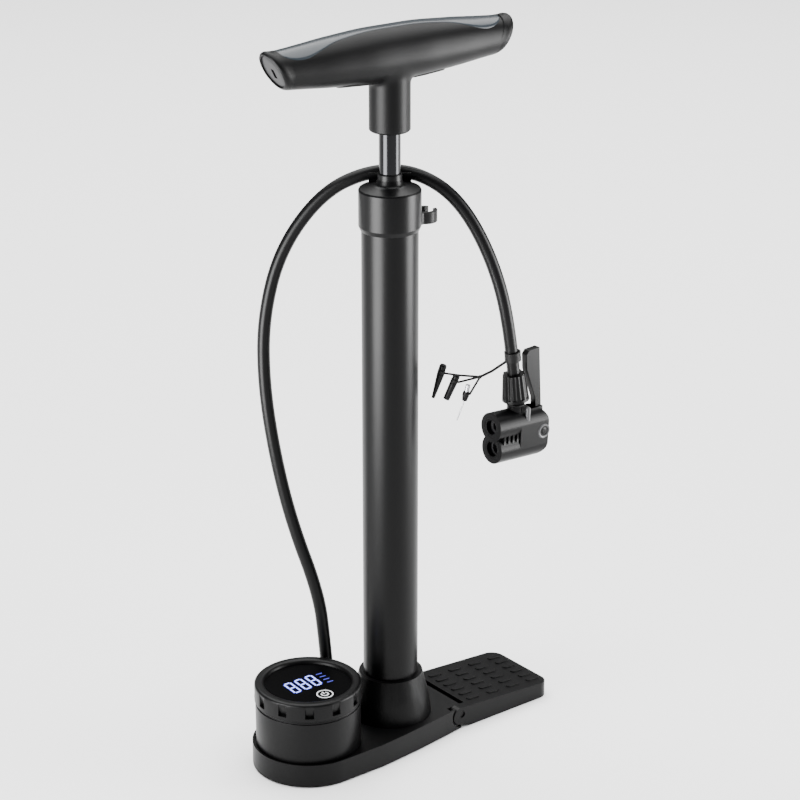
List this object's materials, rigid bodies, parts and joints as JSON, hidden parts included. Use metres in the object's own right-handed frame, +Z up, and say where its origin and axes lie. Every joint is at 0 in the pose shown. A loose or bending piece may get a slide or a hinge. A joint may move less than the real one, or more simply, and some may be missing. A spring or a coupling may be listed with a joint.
{
  "type": "floor bike pump",
  "caption": "Upright floor pump for bicycle tyres: slim barrel, bar handle, round digital gauge on a foot with a fold-down tread, looped hose and a twin-port lever chuck.",
  "frame": {"origin": "on the floor, at the axis of the pump's barrel", "axes": "+Z up along the barrel; +X along the foot, from the gauge towards the fold-down tread; +Y to the left when looking along +X"},
  "size_m": [0.2329, 0.1176, 0.5066],
  "materials": {
    "satin_black": "satin",
    "gloss_black": "gloss",
    "handle_black": "matte with a broad sheen",
    "pad_grey": "glossy blue-grey skin",
    "cap_grey": "satin",
    "tube_black": "satin anodised black",
    "rod_chrome": "polished",
    "rubber_black": "matte",
    "hook_grey": "satin",
    "inner_plastic": "satin",
    "steel": "bright zinc",
    "brass": "turned",
    "nozzle_black": "satin",
    "window": "gloss, dark tint",
    "display": "lit blue-white digits on black",
    "button": "gloss",
    "board": "satin"
  },
  "bodies": {
    "frame": {"accessory_strap": "rubber_black", "air_duct": "inner_plastic", "ball_needle": "steel", "barb_seal": "rubber_black", "barrel_seal": "rubber_black", "barrel_tube": "tube_black", "base_screws": "steel", "base_shell": "satin_black", "blunt_nozzle": "nozzle_black", "button_switch": "board", "check_valve_spring": "steel", "chuck_barb": "gloss_black", "chuck_body": "gloss_black", "chuck_hook": "hook_grey", "circuit_board": "board", "coin_cell": "steel", "collar_nut": "gloss_black", "cone_nozzle": "nozzle_black", "display_panel": "display", "gauge_bezel": "satin_black", "gauge_housing": "satin_black", "gauge_lens": "window", "hinge_pin": "satin_black", "hose": "rubber_black", "hose_gland": "satin_black", "hose_saddle": "gloss_black", "hose_sleeve": "rubber_black", "lever_pin": "steel", "needle_hub": "nozzle_black", "needle_thread": "steel", "port_collar_lower": "gloss_black", "port_collar_upper": "gloss_black", "port_gasket_lower": "rubber_black", "port_gasket_upper": "rubber_black", "port_washer_lower": "inner_plastic", "port_washer_upper": "inner_plastic", "pressure_sensor": "brass", "rod_guide_bush": "inner_plastic", "rod_wiper": "rubber_black", "rubber_feet": "rubber_black", "sensor_tube": "rubber_black", "top_cap": "gloss_black", "valve_block": "inner_plastic"},
    "piston": {"piston_head": "inner_plastic", "piston_seal": "rubber_black", "piston_bolt": "steel", "piston_spacer": "inner_plastic"},
    "plunger": {"piston_rod": "rod_chrome", "handle_body": "handle_black", "grip_pad": "pad_grey", "handle_end_cap_left": "cap_grey", "handle_end_cap_right": "cap_grey", "handle_screw": "steel", "rod_plug": "inner_plastic", "stroke_bumper": "rubber_black"},
    "tread": {"foot_tread": "satin_black"},
    "button": {"power_button": "button"},
    "check_valve": {"check_valve_poppet": "inner_plastic"},
    "lever": {"chuck_lever": "gloss_black"},
    "follower": {"cam_follower": "inner_plastic"}
  },
  "joints": [
    {"name": "piston_slide", "type": "slide", "parent": "frame", "child": "piston", "axis": [0, 0, 1], "range_m": [-0.0275, 0.27]},
    {"name": "handle_turn", "type": "hinge", "parent": "piston", "child": "plunger", "pos_m": [0, 0, 0.09], "axis": [0, 0, 1], "continuous": true},
    {"name": "tread_fold", "type": "hinge", "parent": "frame", "child": "tread", "pos_m": [0.04, 0, 0.0112], "axis": [0, -1, 0], "range_deg": [0, 90]},
    {"name": "button_press", "type": "slide", "parent": "frame", "child": "button", "axis": [0, 0, -1], "range_m": [0, 0.0008], "stiffness_N_per_m": 500},
    {"name": "valve_lift", "type": "slide", "parent": "frame", "child": "check_valve", "axis": [0, 0, -1], "range_m": [0, 0.0012], "stiffness_N_per_m": 200, "deforming": ["check_valve_spring"]},
    {"name": "lever_swing", "type": "hinge", "parent": "frame", "child": "lever", "pos_m": [0.095, -0.039, 0.21963], "axis": [0, 1, 0], "range_deg": [0, 90]},
    {"name": "follower_slide", "type": "slide", "parent": "frame", "child": "follower", "axis": [-0.9986, 0, 0.0523], "range_m": [0, 0.002]}
  ],
  "couplings": [
    {"joint": "follower_slide", "follows": "lever_swing", "m_per_rad": 0.00127}
  ]
}
